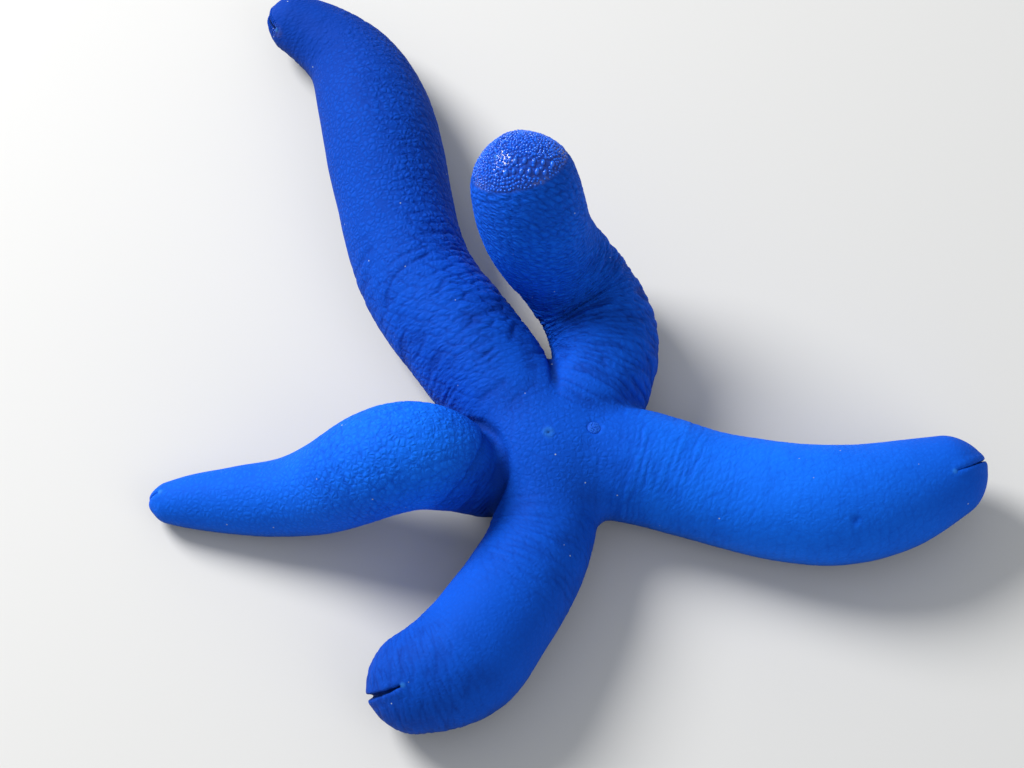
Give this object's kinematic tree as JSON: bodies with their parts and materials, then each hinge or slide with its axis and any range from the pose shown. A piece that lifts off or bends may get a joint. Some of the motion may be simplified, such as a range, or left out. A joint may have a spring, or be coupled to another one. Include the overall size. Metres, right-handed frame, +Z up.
{
  "type": "blue sea star",
  "caption": "Life-size still blue sea star with long round arms, arched and reared in places, lying on flat soles with a furrow under each arm.",
  "frame": {"origin": "on the plane the star rests on, under the middle of its box", "axes": "+Z up out of the disc's upper side, +X towards the arm that lies to the right, +Y towards the longest arm's end"},
  "size_m": [0.174, 0.1728, 0.051],
  "materials": {
    "skin": "vivid blue skin of fine rounded granules with crosswise creases, satin, greyer low on the flanks",
    "sieve_plate": "pale blue plate with fine winding grooves, satin"
  },
  "bodies": {
    "root": {"disc": "skin", "madreporite": "sieve_plate", "arm_a_base": "skin", "arm_a_middle": "skin", "arm_a_tip": "skin", "arm_b_base": "skin", "arm_b_middle": "skin", "arm_b_tip": "skin", "arm_c_base": "skin", "arm_c_middle": "skin", "arm_c_tip": "skin", "arm_d_base": "skin", "arm_d_middle": "skin", "arm_d_tip": "skin", "arm_e_base": "skin", "arm_e_middle": "skin", "arm_e_tip": "skin"}
  },
  "joints": []
}
